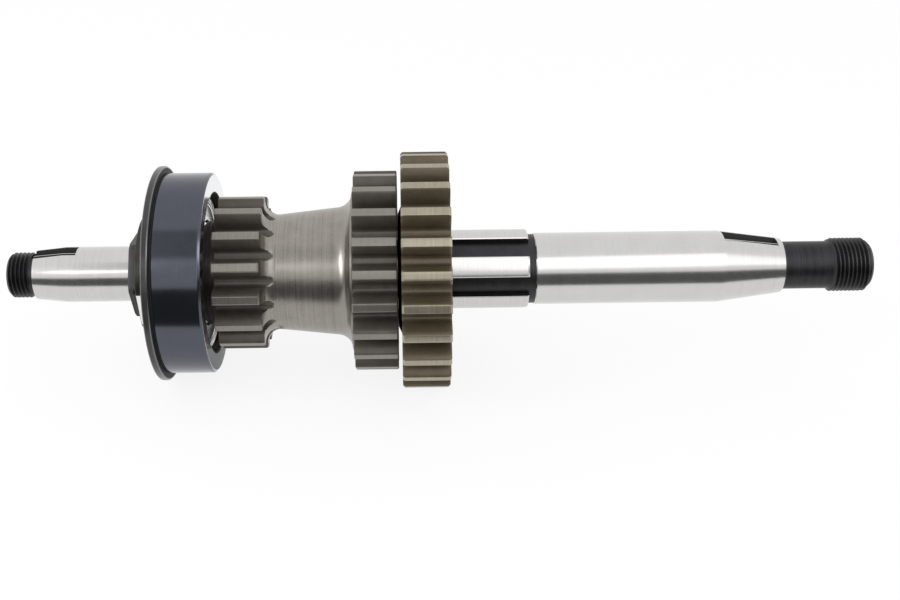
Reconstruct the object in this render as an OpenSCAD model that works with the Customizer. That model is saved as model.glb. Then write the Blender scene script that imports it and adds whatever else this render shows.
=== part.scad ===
// Main shaft of a four-speed kick-start transmission, with its gears and its ball bearing.
// The shaft lies along X, kicker end at -X and clutch end at +X, with both keyways up (+Z).
// The origin is on the shaft's axis, at the middle of the ball bearing. Lengths are in millimetres.

/* [Gear teeth] */
// Module of all the teeth: pitch diameter over number of teeth
gear_module = 3.225; // [2.9:0.005:3.6]
// Tooth height above the pitch circle, in modules
addendum = 0.8; // [0.7:0.05:0.95]
// Tooth depth below the pitch circle, in modules
dedendum = 1.35; // [1.15:0.05:1.4]
// Pressure angle of the teeth
pressure_angle = 20; // [17:0.5:22]
// Teeth of the first gear
first_teeth = 15; // [15:1:17]
// Teeth of the second gear
second_teeth = 20; // [19:1:23]
// Teeth of the third gear
third_teeth = 24; // [22:1:28]
// Angle from +Y to the middle of a first-gear tooth
first_phase = 5.4; // [0:0.1:24]
// Angle from +Y to the middle of a second-gear tooth
second_phase = 11.1; // [0:0.1:18]
// Angle from +Y to the middle of a third-gear tooth
third_phase = 5.4; // [0:0.1:15]
// Chamfer at the ends of the tooth tips
tip_chamfer = 0.7; // [0.3:0.05:1]

/* [First and second gear] */
// Length of the first gear's full tooth tips
first_face = 15.3; // [12:0.1:19]
// Width of the bevel at the waist end of the first gear's tips
first_bevel = 0.5; // [0.3:0.1:1.5]
// Radius of the hollow between the first gear and the waist
waist_fillet = 4.6; // [3.5:0.1:5.5]
// Diameter of the waist at its thinnest
waist_small_d = 40.2; // [38:0.1:43]
// Diameter of the waist's cone where it meets the second gear's fillet
waist_large_d = 44.6; // [42:0.1:48]
// Length of the waist, from the first gear's end face to the second gear's web
waist_len = 30.1; // [24:0.1:38]
// How far the second gear's web stands out in front of its teeth
web_step = 0.8; // [0.4:0.1:1.5]
// Length of the second gear's teeth
second_face = 14.9; // [12:0.1:18]
// Radius of the hob that cut the first gear's teeth, which shapes the ends of the gaps
hob_radius = 35; // [25:1:45]

/* [Third gear] */
// Length of the third gear's teeth
third_face = 16.3; // [13.5:0.1:19]
// Length of the cone between the third gear and the second gear
third_hub_len = 1.2; // [0.8:0.1:2]
// Diameter of that cone at the second gear
third_hub_small_d = 40; // [36:0.5:46]
// Diameter of that cone at the third gear
third_hub_large_d = 45; // [40:0.5:54]
// Wall of the third gear's bush
bush_t = 1.8; // [1.3:0.05:2.8]
// How far the recess in the third gear's right face reaches past the bush
recess_w = 3; // [2:0.1:5]
// Depth of that recess
recess_depth = 4.2; // [3.8:0.1:6]
// Number of dog pockets round the recess
pocket_count = 4; // [3:1:6]
// Radial width of the dog pockets beside the recess
pocket_w = 8; // [6:0.1:10]
// Depth of the dog pockets
pocket_depth = 7; // [6.5:0.1:9]
// Share of the circle that the dog pockets take up
pocket_share = 0.45; // [0.3:0.05:0.55]
// Thickness of the thrust washer
thrust_washer_t = 1.6; // [1.2:0.1:1.9]
// Gap between the thrust washer and the wall of the recess
thrust_washer_gap = 0.8; // [0.5:0.1:1.5]
// Thickness of the retaining ring
retaining_ring_t = 1.3; // [1:0.05:1.5]
// Radial width of the retaining ring
retaining_ring_w = 3.65; // [2.8:0.05:4.4]
// Depth of the ring groove in the splines
ring_groove_depth = 1.2; // [0.8:0.1:1.5]

/* [Splines] */
// Number of splines
spline_count = 6; // [5:1:7]
// Diameter over the splines
spline_d = 28.3; // [27.6:0.1:29.5]
// Depth of the gaps between the splines
spline_depth = 1.95; // [1.6:0.05:2.6]
// Width of one spline
spline_w = 7.07; // [5.8:0.01:8.2]
// Bare length of the splines, from the third gear to the undercut
spline_bare_len = 28.1; // [20:0.1:36]
// How far the shoulder inside the second gear stands over the splines
shoulder_w = 2.35; // [1.6:0.05:3.8]
// Thickness of that shoulder
shoulder_t = 3; // [2:0.1:4]

/* [Clutch end of the shaft] */
// Width of the undercut at the end of the splines
undercut_w = 2.3; // [1.5:0.1:3.5]
// Depth of the undercut below the plain shaft
undercut_depth = 0.4; // [0.2:0.05:1]
// Diameter of the plain shaft
plain_d = 25; // [24.8:0.05:26]
// Length of the plain shaft
plain_len = 63.4; // [52:0.1:76]
// Length of the clutch taper
clutch_taper_len = 22.2; // [21.5:0.1:27]
// Small diameter of the clutch taper
clutch_taper_d = 19; // [18.8:0.1:22]
// Depth of the neck behind the clutch thread
clutch_neck_depth = 1.05; // [0.6:0.05:1.6]
// Length of the neck
clutch_neck_len = 16.8; // [14:0.1:20]
// Outside diameter of the clutch thread
clutch_thread_d = 18.7; // [18:0.1:18.8]
// Length of the clutch thread
clutch_thread_len = 14; // [11:0.1:17]
// Chamfer at the end of the clutch thread
clutch_thread_chamfer = 1.9; // [1:0.1:2.2]

/* [Kicker end of the shaft] */
// Diameter of the journal beside the nut
kicker_journal_d = 19.3; // [18.8:0.05:19.8]
// Length of that journal, from the taper to the nut
kicker_journal_len = 24; // [20:0.1:29]
// Length of the kicker taper
kicker_taper_len = 10.6; // [8.8:0.1:12.6]
// Small diameter of the kicker taper
kicker_taper_d = 17.1; // [16.2:0.1:18.4]
// Outside diameter of the kicker thread
kicker_thread_d = 15.9; // [14.5:0.1:16.1]
// Length of the kicker thread
kicker_thread_len = 9; // [7.5:0.1:11]
// Chamfer at the end of the kicker thread
kicker_thread_chamfer = 1.1; // [0.6:0.1:1.6]

/* [Keyways and rod bore] */
// Width of both keyways
key_w = 6.35; // [5:0.05:7.5]
// Depth of both keyways, from the top of the shaft at their middle
key_depth = 3; // [2.5:0.1:3.5]
// Length of the kicker keyway, which is open at the taper's small end
kicker_key_len = 15; // [12:0.1:18]
// Length of the clutch keyway, which is closed at both ends
clutch_key_len = 19; // [16:0.1:19.6]
// Land between the clutch keyway and the taper's small end
clutch_key_land = 1.9; // [1.5:0.1:2.4]
// Diameter of the bore for the clutch rod
rod_bore_d = 8.7; // [7.2:0.1:10]
// Depth of the coned centre at each end of the rod bore
centre_depth = 1.2; // [0.8:0.1:1.6]

/* [Ball bearing] */
// Bore of the bearing, which is the diameter of its seat on the shaft
bearing_bore = 25; // [24.6:0.1:26.5]
// Outside diameter of the bearing
bearing_od = 62; // [61:0.1:64]
// Number of balls
ball_count = 7; // [6:1:8]
// Diameter of a ball, as a share of the bearing's height from its bore to its outside
ball_share = 0.62; // [0.56:0.01:0.64]
// Curve of the grooves, in ball diameters
groove_share = 0.52; // [0.51:0.005:0.54]
// How high a ring stands over the bottom of its groove, in ball diameters
ring_share = 0.2; // [0.16:0.01:0.24]
// Chamfer on the corners of the rings
ring_chamfer = 1; // [0.6:0.1:1.3]
// Thickness of the cage's strip
cage_t = 0.9; // [0.6:0.05:1.1]
// Radial width of the cage's strip
cage_w = 3.5; // [2.8:0.1:4.2]
// Diameter of the cage's rivets
rivet_d = 1.5; // [1.2:0.1:1.8]
// Diameter of the rivets' heads
rivet_head_d = 2.6; // [2.2:0.1:3]
// Thickness of the shields
shield_t = 0.5; // [0.4:0.05:0.7]
// How far a shield lies inside the bearing's face
shield_inset = 0.4; // [0.3:0.05:0.6]
// Gap between a shield and the cage
shield_room = 0.3; // [0.2:0.05:1]

/* [Bearing housing] */
// Wall of the housing round the bearing
housing_wall = 4; // [3:0.1:5.5]
// How far the flange stands out over the housing
flange_w = 2.5; // [1.8:0.1:5]
// Thickness of the flange
flange_t = 2.3; // [1.8:0.1:3]
// How far the flange's face stands out past the bearing
flange_rim = 0.2; // [0.1:0.05:0.5]
// Width of the undercut beside the flange
housing_undercut_w = 0.8; // [0.6:0.1:1.4]
// Depth of that undercut
housing_undercut_depth = 0.7; // [0.4:0.05:1]
// Thickness of the lip that stops the bearing
lip_t = 2.55; // [2:0.05:3]
// How far the lip reaches in over the bearing's outer ring
lip_w = 3; // [2:0.1:4]
// Chamfer on the housing's outer edge
housing_chamfer = 0.8; // [0.4:0.1:1.3]

/* [Washers and nut] */
// Thickness of the washer between the bearing and the first gear
bearing_washer_t = 4.65; // [3.7:0.05:5.6]
// Diameter of that washer
bearing_washer_d = 35.8; // [31:0.1:41]
// Diameter of the spacer beside the bearing
spacer_d = 31; // [29.5:0.1:33]
// Length of the spacer
spacer_len = 4.85; // [4:0.05:6]
// Diameter of the lock washer
lock_washer_d = 40.6; // [38:0.1:46]
// Thickness of the lock washer
lock_washer_t = 1; // [0.8:0.05:1.3]
// Width of the lock washer's tab, bent up against the nut
lock_tab_w = 12; // [9:0.1:13]
// How far that tab reaches over the nut
lock_tab_len = 2.3; // [1.8:0.1:2.8]
// Width of the nut across its flats
nut_af = 26.2; // [25:0.1:29]
// Thickness of the nut
nut_t = 3.7; // [3.1:0.05:4.4]
// How far the chamfer reaches in from the nut's corners
nut_chamfer = 0.8; // [0.5:0.1:1.2]
// Angle of the nut's chamfer
nut_chamfer_angle = 30; // [25:1:33]
// Outside diameter of the thread under the nut
nut_thread_d = 20; // [19.9:0.05:21.5]
// Angle from +Y to the middle of the nut's flat that the tab lies on
nut_phase = 202.7; // [180:0.1:240]

/* [Clearances] */
// Gap at fixed fits, all round
fixed_gap = 0.02; // [0.01:0.01:0.04]
// Gap all round where the third gear's bush runs on the splines
running_gap = 0.05; // [0.03:0.01:0.08]
// Gap between a ball and the bottom of its grooves
ball_gap = 0.06; // [0.04:0.01:0.08]
// Gap between a ball and its cage
cage_gap = 0.15; // [0.1:0.05:0.2]
// End gap where one piece turns beside another
end_gap = 0.15; // [0.1:0.05:0.25]

/* [Hidden] */

// Smoothness of turned shapes, of balls and of small holes, and steps along a tooth flank or a fillet
round_fn = 96;
ball_fn = 48;
small_fn = 24;
flank_steps = 6;
fillet_steps = 8;
// How far a cutting shape runs past what it cuts
cut = 1;

// Directions in a turned outline, in degrees, and where the web's fillet leaves the waist's cone
leftwards = 180;
inwards = 270;
rightwards = 360;
fillet_start = inwards + 5;

// Fine forms that no customer would change
tooth_fillet = 0.33 * gear_module;
bevel_slope = 0.75;
land_chamfer = 0.6;
edge_chamfer = 0.4;
washer_chamfer = 0.2;
shield_seat = 1;
shield_gap = 0.4;
ring_split_angle = 16;
pliers_hole_d = 1.4;
pliers_hole_angle = 24;

// Diameter of a ball
ball_d = ball_share * (bearing_od - bearing_bore) / 2;

// Width of the bearing: the balls, and on each side the cage, a gap and a shield
bearing_w = ball_d + 2 * (cage_gap + cage_t + shield_room + shield_t + shield_inset);

// Diameters that follow from the piece beside them
housing_d = bearing_od + 2 * housing_wall;
flange_d = housing_d + 2 * flange_w;
lip_d = bearing_od - 2 * lip_w;
spline_root_d = spline_d - 2 * spline_depth;
shoulder_d = spline_d + 2 * shoulder_w;
bush_d = spline_d + 2 * (running_gap + bush_t);
recess_d = bush_d + 2 * recess_w;
pocket_d = recess_d + 2 * pocket_w;
thrust_washer_d = recess_d - 2 * thrust_washer_gap;
ring_groove_d = spline_d - 2 * ring_groove_depth;
retaining_ring_d = ring_groove_d + 2 * (fixed_gap + retaining_ring_w);
undercut_d = plain_d - 2 * undercut_depth;
clutch_neck_d = clutch_thread_d - 2 * clutch_neck_depth;

// Places along the shaft, worked out from the bearing to each side
washer_x = bearing_w / 2;
first_x = washer_x + bearing_washer_t;
first_end_x = first_x + first_face;
waist_x = first_end_x + first_bevel;
web_x = waist_x + waist_len;
second_x = web_x + web_step;
second_end_x = second_x + second_face;
third_hub_x = second_end_x + end_gap;
third_x = third_hub_x + third_hub_len;
third_end_x = third_x + third_face;
recess_x = third_end_x - recess_depth;
thrust_x = recess_x + end_gap;
ring_x = thrust_x + thrust_washer_t + end_gap;
spline_end_x = third_end_x + spline_bare_len;
plain_x = spline_end_x + undercut_w;
clutch_taper_x = plain_x + plain_len;
clutch_neck_x = clutch_taper_x + clutch_taper_len;
clutch_thread_x = clutch_neck_x + clutch_neck_len;
clutch_end_x = clutch_thread_x + clutch_thread_len;
spacer_x = -bearing_w / 2 - spacer_len;
lock_x = spacer_x - lock_washer_t;
nut_x = lock_x - nut_t;
kicker_taper_x = nut_x - kicker_journal_len - kicker_taper_len;
kicker_thread_x = kicker_taper_x - kicker_thread_len;
housing_x = -bearing_w / 2 - flange_rim;
housing_end_x = bearing_w / 2 + lip_t;

// Radii of the tooth tips and of the gaps between the teeth
function tip_r(teeth) = gear_module * (teeth / 2 + addendum);
function root_r(teeth) = gear_module * (teeth / 2 - dedendum);

// Radii inside the bearing
pitch_r = (bearing_bore + bearing_od) / 4;
ball_r = ball_d / 2;
groove_r = ball_d * groove_share;
inner_groove_r = pitch_r - ball_r - ball_gap + groove_r;
outer_groove_r = pitch_r + ball_r + ball_gap - groove_r;
inner_shoulder_r = pitch_r - ball_r + ball_d * ring_share;
outer_shoulder_r = pitch_r + ball_r - ball_d * ring_share;
pocket_r = ball_r + cage_gap;

// Turns a shape made along Z so that it lies along X, with its X along Y and its Y along Z
module along_x() {
    rotate([90, 0, 90]) children();
}

// A turned piece: the outline is a list of points [distance along the shaft, radius]
module turned(outline) {
    along_x() rotate_extrude($fn = round_fn) polygon([for (p = outline) [p[1], p[0]]]);
}

// A plain ring between two places along the shaft, with its corners cut off by a chamfer
module ring(x0, x1, inner_r, outer_r, chamfer = 0) {
    turned([
        [x0 + chamfer, inner_r], [x0, inner_r + chamfer],
        [x0, outer_r - chamfer], [x0 + chamfer, outer_r],
        [x1 - chamfer, outer_r], [x1, outer_r - chamfer],
        [x1, inner_r + chamfer], [x1 - chamfer, inner_r]
    ]);
}

// A straight round bar along the shaft
module bar(x0, x1, r) {
    translate([x0, 0, 0]) along_x() cylinder(h = x1 - x0, r = r, $fn = round_fn);
}

// Points of an arc in the plane of a turned outline, as [distance along, radius]
function arc(middle, r, from, to, steps) = [
    for (i = [0:steps])
        let (a = from + (to - from) * i / steps)
        [middle[0] + r * cos(a), middle[1] + r * sin(a)]
];

// Involute of an angle, in degrees
function involute(a) = tan(a) * 180 / PI - a;

// Half the angle that a tooth takes up at radius r, from the base circle outwards
function half_tooth(teeth, r) =
    let (base = gear_module * teeth / 2 * cos(pressure_angle))
    90 / teeth + involute(pressure_angle) - involute(acos(min(1, base / r)));

// One side of a tooth, from the bottom of the gap to the tip, as [radius, half angle]
function flank(teeth) =
    let (
        root = root_r(teeth),
        tip = tip_r(teeth),
        base = max(root, gear_module * teeth / 2 * cos(pressure_angle)),
        base_half = half_tooth(teeth, base),
        fillet_angle = tooth_fillet / root * 180 / PI
    )
    concat(
        [for (a = [0:30:60])
            [root + tooth_fillet * (1 - cos(a)), base_half + fillet_angle * (1 - sin(a))]],
        [[root + tooth_fillet, base_half]],
        [for (i = [0:flank_steps])
            let (r = base + (tip - base) * i / flank_steps)
            if (r > root + tooth_fillet * 1.1) [r, half_tooth(teeth, r)]]
    );

// Outline of all the teeth, with one tooth's middle at the phase angle
function toothed_outline(teeth, phase) =
    let (side = flank(teeth), last = len(side) - 1)
    [for (t = [0:teeth - 1]) let (middle = phase + t * 360 / teeth)
        each concat(
            [for (p = side) p[0] * [cos(middle - p[1]), sin(middle - p[1])]],
            [tip_r(teeth) * [cos(middle), sin(middle)]],
            [for (i = [last:-1:0]) side[i][0] * [cos(middle + side[i][1]), sin(middle + side[i][1])]],
            [root_r(teeth) * [cos(middle + 180 / teeth), sin(middle + 180 / teeth)]]
        )
    ];

// Straight teeth between two places along the shaft
module teeth_bar(teeth, phase, x0, x1) {
    translate([x0, 0, 0]) along_x() linear_extrude(x1 - x0) polygon(toothed_outline(teeth, phase));
}

// Bars with parallel sides that stand round the axis like the splines
module spline_bars(x0, x1, width) {
    for (i = [0:spline_count - 1])
        rotate([90 + i * 360 / spline_count, 0, 0])
            translate([x0, 0, -width / 2]) cube([x1 - x0, spline_d, width]);
}

// The space between the splines
module spline_gaps(x0, x1) {
    difference() {
        bar(x0, x1, spline_d);
        bar(x0 - cut, x1 + cut, spline_root_d / 2);
        spline_bars(x0 - cut, x1 + cut, spline_w);
    }
}

// A keyway: a straight slot with square ends, open upwards
module keyway(x0, x1, floor_z) {
    translate([x0, -key_w / 2, floor_z]) cube([x1 - x0, key_w, spline_d]);
}

// The shaft's outline from the kicker thread to the clutch thread, without splines
function shaft_outline() =
    let (
        bore_r = rod_bore_d / 2,
        centre_r = bore_r + centre_depth,
        land_r = spline_d / 2
    )
    [
        [kicker_thread_x + centre_depth, bore_r],
        [kicker_thread_x, centre_r],
        [kicker_thread_x, kicker_thread_d / 2 - kicker_thread_chamfer],
        [kicker_thread_x + kicker_thread_chamfer, kicker_thread_d / 2],
        [kicker_taper_x, kicker_thread_d / 2],
        [kicker_taper_x, kicker_taper_d / 2],
        [kicker_taper_x + kicker_taper_len, kicker_journal_d / 2],
        [nut_x, kicker_journal_d / 2],
        [nut_x, nut_thread_d / 2],
        [spacer_x, nut_thread_d / 2],
        [spacer_x, bearing_bore / 2],
        [first_x, bearing_bore / 2],
        [first_x, land_r - land_chamfer],
        [first_x + land_chamfer, land_r],
        [second_end_x - shoulder_t, land_r],
        [second_end_x - shoulder_t, shoulder_d / 2],
        [second_end_x, shoulder_d / 2],
        [second_end_x, land_r],
        [ring_x, land_r],
        [ring_x, ring_groove_d / 2],
        [ring_x + retaining_ring_t + end_gap, ring_groove_d / 2],
        [ring_x + retaining_ring_t + end_gap, land_r],
        [spline_end_x - land_chamfer, land_r],
        [spline_end_x, land_r - land_chamfer],
        [spline_end_x, undercut_d / 2],
        [plain_x, undercut_d / 2],
        [plain_x, plain_d / 2 - land_chamfer / 2],
        [plain_x + land_chamfer / 2, plain_d / 2],
        [clutch_taper_x, plain_d / 2],
        [clutch_neck_x, clutch_taper_d / 2],
        [clutch_neck_x, clutch_neck_d / 2],
        [clutch_thread_x, clutch_neck_d / 2],
        [clutch_thread_x + (clutch_thread_d - clutch_neck_d) / 2, clutch_thread_d / 2],
        [clutch_end_x - clutch_thread_chamfer, clutch_thread_d / 2],
        [clutch_end_x, clutch_thread_d / 2 - clutch_thread_chamfer],
        [clutch_end_x, centre_r],
        [clutch_end_x - centre_depth, bore_r]
    ];

module mainshaft() {
    kicker_floor_z = (kicker_taper_d + kicker_journal_d) / 4 - key_depth;
    clutch_floor_z = (plain_d + clutch_taper_d) / 4 - key_depth;
    clutch_key_end_x = clutch_neck_x - clutch_key_land;
    color("silver") difference() {
        turned(shaft_outline());
        spline_gaps(first_x, second_end_x - shoulder_t);
        spline_gaps(second_end_x, spline_end_x);
        keyway(kicker_taper_x - cut, kicker_taper_x + kicker_key_len, kicker_floor_z);
        keyway(clutch_key_end_x - clutch_key_len, clutch_key_end_x, clutch_floor_z);
    }
}

// Outside of the first and second gear, as if no tooth gap had been cut yet
function cluster_outline() =
    let (
        tip1 = tip_r(first_teeth),
        tip2 = tip_r(second_teeth),
        small_r = waist_small_d / 2,
        large_r = waist_large_d / 2,
        web_r = root_r(second_teeth),
        web_fillet = web_r - large_r,
        hollow = [waist_x + waist_fillet, small_r + waist_fillet]
    )
    concat(
        [[first_x, 0], [first_x, tip1 - tip_chamfer / 2], [first_x + tip_chamfer / 2, tip1]],
        [[first_end_x, tip1], [waist_x, tip1 - first_bevel * bevel_slope]],
        arc(hollow, waist_fillet, leftwards, inwards, fillet_steps),
        arc([web_x - web_fillet, web_r], web_fillet, fillet_start, rightwards, fillet_steps),
        [[second_x, web_r], [second_x, tip2 - tip_chamfer / 2], [second_x + tip_chamfer / 2, tip2]],
        [[second_end_x - tip_chamfer / 2, tip2], [second_end_x, tip2 - tip_chamfer / 2]],
        [[second_end_x, 0]]
    );

// What the hob leaves under the tooth gaps: the first gear's gaps run out into the waist
function cluster_core_outline() =
    let (
        root1 = root_r(first_teeth),
        root2 = root_r(second_teeth),
        run_out = 2 * waist_fillet,
        sweep = asin(run_out / hob_radius)
    )
    concat(
        [[first_x - cut, 0], [first_x - cut, root1]],
        arc([first_end_x, root1 + hob_radius], hob_radius, inwards, inwards + sweep, fillet_steps),
        [[first_end_x + run_out, root2 + cut], [web_x - cut, root2 + cut], [web_x - cut, root2]],
        [[second_end_x + cut, root2], [second_end_x + cut, 0]]
    );

module first_second_gear() {
    spline_gap_r = spline_d / 2 + fixed_gap;
    color("dimgray") difference() {
        intersection() {
            turned(cluster_outline());
            union() {
                teeth_bar(first_teeth, first_phase, first_x - cut, waist_x + waist_fillet);
                turned(cluster_core_outline());
                teeth_bar(second_teeth, second_phase, web_x - cut, second_end_x + cut);
            }
        }
        bar(first_x - cut, second_end_x + cut, spline_root_d / 2 + fixed_gap);
        intersection() {
            bar(first_x - 2 * cut, second_end_x + 2 * cut, spline_gap_r);
            spline_bars(first_x - cut, second_end_x + cut, spline_w + 2 * fixed_gap);
        }
        bar(second_end_x - shoulder_t - fixed_gap, second_end_x + cut, shoulder_d / 2 + fixed_gap);
    }
}

// Outside of the third gear, without its teeth, its recess and its pockets
function third_outline() =
    let (tip = tip_r(third_teeth))
    [
        [third_hub_x, bush_d / 2],
        [third_hub_x, third_hub_small_d / 2],
        [third_x, third_hub_large_d / 2],
        [third_x, tip - tip_chamfer],
        [third_x + tip_chamfer, tip],
        [third_end_x - tip_chamfer, tip],
        [third_end_x, tip - tip_chamfer],
        [third_end_x, recess_d / 2],
        [recess_x, recess_d / 2],
        [recess_x, bush_d / 2]
    ];

// One dog pocket, beside the recess, at an angle round the axis
module dog_pocket(angle) {
    half = pocket_share * 360 / pocket_count / 2;
    reach = pocket_d / cos(half);
    intersection() {
        bar(third_end_x - pocket_depth, third_end_x + cut, pocket_d / 2);
        translate([third_end_x - pocket_depth - cut, 0, 0]) along_x() rotate(angle)
            linear_extrude(pocket_depth + 3 * cut)
                polygon([[bush_d / 2 + 2 * cut, -bush_d / 2 * tan(half)], [reach, -reach * tan(half)],
                         [reach, reach * tan(half)], [bush_d / 2 + 2 * cut, bush_d / 2 * tan(half)]]);
    }
}

module third_gear() {
    color("darkkhaki") difference() {
        intersection() {
            turned(third_outline());
            teeth_bar(third_teeth, third_phase, third_hub_x - cut, third_end_x + cut);
        }
        for (i = [0:pocket_count - 1])
            dog_pocket(third_phase + i * 360 / pocket_count);
    }
}

module third_gear_bushing() {
    color("peru")
        ring(third_hub_x, recess_x, spline_d / 2 + running_gap, bush_d / 2 - fixed_gap, edge_chamfer);
}

module third_gear_thrust_washer() {
    color("gray")
        ring(thrust_x, thrust_x + thrust_washer_t, spline_d / 2 + fixed_gap, thrust_washer_d / 2,
             washer_chamfer);
}

// The retaining ring is split, with a small hole for pliers in each end
module third_gear_retaining_ring() {
    middle_r = (ring_groove_d + retaining_ring_d) / 4;
    color("dimgray") difference() {
        ring(ring_x + end_gap / 2, ring_x + end_gap / 2 + retaining_ring_t,
             ring_groove_d / 2 + fixed_gap, retaining_ring_d / 2);
        translate([ring_x - cut, 0, 0]) along_x() linear_extrude(retaining_ring_t + 3 * cut)
            polygon([
                [0, 0],
                for (a = [-ring_split_angle, ring_split_angle]) retaining_ring_d * [cos(a), sin(a)]
            ]);
        for (a = [-1, 1])
            rotate([pliers_hole_angle * a, 0, 0]) translate([ring_x - cut, middle_r, 0])
                along_x() cylinder(h = retaining_ring_t + 3 * cut, r = pliers_hole_d / 2, $fn = small_fn);
    }
}

module bearing_housing() {
    undercut_x = housing_x + flange_t;
    edge = edge_chamfer;
    color("darkslategray") turned([
        [housing_x, bearing_od / 2 + edge],
        [housing_x, flange_d / 2 - edge],
        [housing_x + edge, flange_d / 2],
        [undercut_x - edge, flange_d / 2],
        [undercut_x, flange_d / 2 - edge],
        [undercut_x, housing_d / 2 - housing_undercut_depth],
        [undercut_x + housing_undercut_w, housing_d / 2 - housing_undercut_depth],
        [undercut_x + housing_undercut_w, housing_d / 2],
        [housing_end_x - housing_chamfer, housing_d / 2],
        [housing_end_x, housing_d / 2 - housing_chamfer],
        [housing_end_x, lip_d / 2 + edge],
        [housing_end_x - edge, lip_d / 2],
        [bearing_w / 2 + fixed_gap, lip_d / 2],
        [bearing_w / 2 + fixed_gap, bearing_od / 2 + fixed_gap],
        [housing_x + edge, bearing_od / 2 + fixed_gap]
    ]);
}

// A groove for the balls, as the ring-shaped solid that is cut away
module ball_groove(middle_r) {
    along_x() rotate_extrude($fn = round_fn) translate([middle_r, 0]) circle(r = groove_r, $fn = ball_fn);
}

// The two steps in a bearing ring that hold the shields' outer edges
module shield_steps(r0, r1) {
    for (side = [-1, 1])
        let (far = side * (bearing_w / 2 + cut), near = side * (bearing_w / 2 - shield_inset - shield_t))
        ring(min(far, near), max(far, near), r0, r1);
}

module bearing_outer_ring() {
    color("lightsteelblue") difference() {
        ring(-bearing_w / 2, bearing_w / 2, outer_shoulder_r, bearing_od / 2, ring_chamfer);
        ball_groove(outer_groove_r);
        shield_steps(outer_shoulder_r - cut, outer_shoulder_r + shield_seat);
    }
}

module bearing_inner_ring() {
    color("lightsteelblue") difference() {
        ring(-bearing_w / 2, bearing_w / 2, bearing_bore / 2 + fixed_gap, inner_shoulder_r, ring_chamfer);
        ball_groove(inner_groove_r);
    }
}

// Repeats a shape at the angles of the balls, or half way between them
module round_the_balls(between = 0) {
    for (i = [0:ball_count - 1])
        rotate([(i + between / 2) * 360 / ball_count, 0, 0]) translate([0, pitch_r, 0]) children();
}

module bearing_ball(i) {
    color("silver") rotate([(i - 1) * 360 / ball_count, 0, 0])
        translate([0, pitch_r, 0]) sphere(r = ball_r, $fn = ball_fn);
}

// A short bar along the shaft's radius, through the middle of a ball
module radial_bar(r) {
    rotate([90, 0, 0]) cylinder(h = 2 * cage_w, r = r, center = true, $fn = ball_fn);
}

// The right half of the cage: a flat strip with a half-round pocket at each ball
module cage_half() {
    inner_r = pitch_r - cage_w / 2;
    outer_r = pitch_r + cage_w / 2;
    color("lightgray") difference() {
        intersection() {
            ring(0, bearing_w / 2, inner_r, outer_r);
            union() {
                ring(-cut, cage_t, inner_r - cut, outer_r + cut);
                round_the_balls() radial_bar(pocket_r + cage_t);
            }
        }
        round_the_balls() radial_bar(pocket_r);
        round_the_balls(between = 1) translate([-cut, 0, 0]) along_x()
            cylinder(h = cage_t + 2 * cut, r = rivet_d / 2 + fixed_gap, $fn = small_fn);
    }
}

// The left half is the same pressing, turned round to face the other way
module bearing_cage_left() {
    rotate([0, 180, 0]) cage_half();
}

module bearing_cage_right() {
    cage_half();
}

module cage_rivets() {
    head_t = rivet_d / 2;
    color("gray") round_the_balls(between = 1) translate([-cage_t - fixed_gap - head_t, 0, 0]) along_x() {
        cylinder(h = 2 * (cage_t + fixed_gap + head_t), r = rivet_d / 2, $fn = small_fn);
        cylinder(h = head_t, r = rivet_head_d / 2, $fn = small_fn);
        translate([0, 0, 2 * (cage_t + fixed_gap) + head_t])
            cylinder(h = head_t, r = rivet_head_d / 2, $fn = small_fn);
    }
}

// A shield stands in the outer ring's step and stays clear of the inner ring
module shield(side) {
    outer = side * (bearing_w / 2 - shield_inset);
    inner = outer - side * shield_t;
    color("silver")
        ring(min(outer, inner), max(outer, inner), inner_shoulder_r + shield_gap,
             outer_shoulder_r + shield_seat - fixed_gap);
}

module bearing_shield_left() {
    shield(-1);
}

module bearing_shield_right() {
    shield(1);
}

// The washer between the bearing and the first gear clears the shield and the housing's lip
module bearing_washer() {
    color("dimgray")
        ring(washer_x, first_x, bearing_bore / 2 + fixed_gap, bearing_washer_d / 2, edge_chamfer);
}

module bearing_spacer() {
    color("dimgray")
        ring(spacer_x, -bearing_w / 2, bearing_bore / 2 + fixed_gap, spacer_d / 2, edge_chamfer);
}

module lock_washer() {
    color("dimgray") {
        ring(lock_x, spacer_x, nut_thread_d / 2 + fixed_gap, lock_washer_d / 2);
        rotate([nut_phase, 0, 0])
            translate([lock_x - lock_tab_len, nut_af / 2 + fixed_gap, -lock_tab_w / 2])
                cube([lock_tab_len + lock_washer_t / 2, lock_washer_t, lock_tab_w]);
    }
}

module bearing_nut() {
    half_side = 30;
    corner_r = nut_af / 2 / cos(half_side);
    color("#202226") difference() {
        intersection() {
            translate([nut_x, 0, 0]) along_x() rotate(nut_phase + half_side)
                cylinder(h = nut_t, r = corner_r, $fn = 6);
            turned([
                [nut_x, 0],
                [nut_x, corner_r - nut_chamfer],
                [nut_x + (nut_chamfer + cut) * tan(nut_chamfer_angle), corner_r + cut],
                [lock_x, corner_r + cut],
                [lock_x, 0]
            ]);
        }
        bar(nut_x - cut, lock_x + cut, nut_thread_d / 2 + fixed_gap);
    }
}

mainshaft();
first_second_gear();
third_gear();
third_gear_bushing();
third_gear_thrust_washer();
third_gear_retaining_ring();
bearing_housing();
bearing_outer_ring();
bearing_inner_ring();
for (i = [1:ball_count])
    bearing_ball(i);
bearing_cage_left();
bearing_cage_right();
cage_rivets();
bearing_shield_left();
bearing_shield_right();
bearing_washer();
bearing_spacer();
lock_washer();
bearing_nut();
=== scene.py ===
"""Looks of a transmission main shaft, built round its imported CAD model.

Lengths in this script are millimetres until a mesh is made. X runs along the shaft. Angles round
the shaft are in degrees, from +Y towards +Z, as in the part's source.
"""

import math

import bmesh
import bpy
from mathutils import Matrix, Vector


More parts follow.
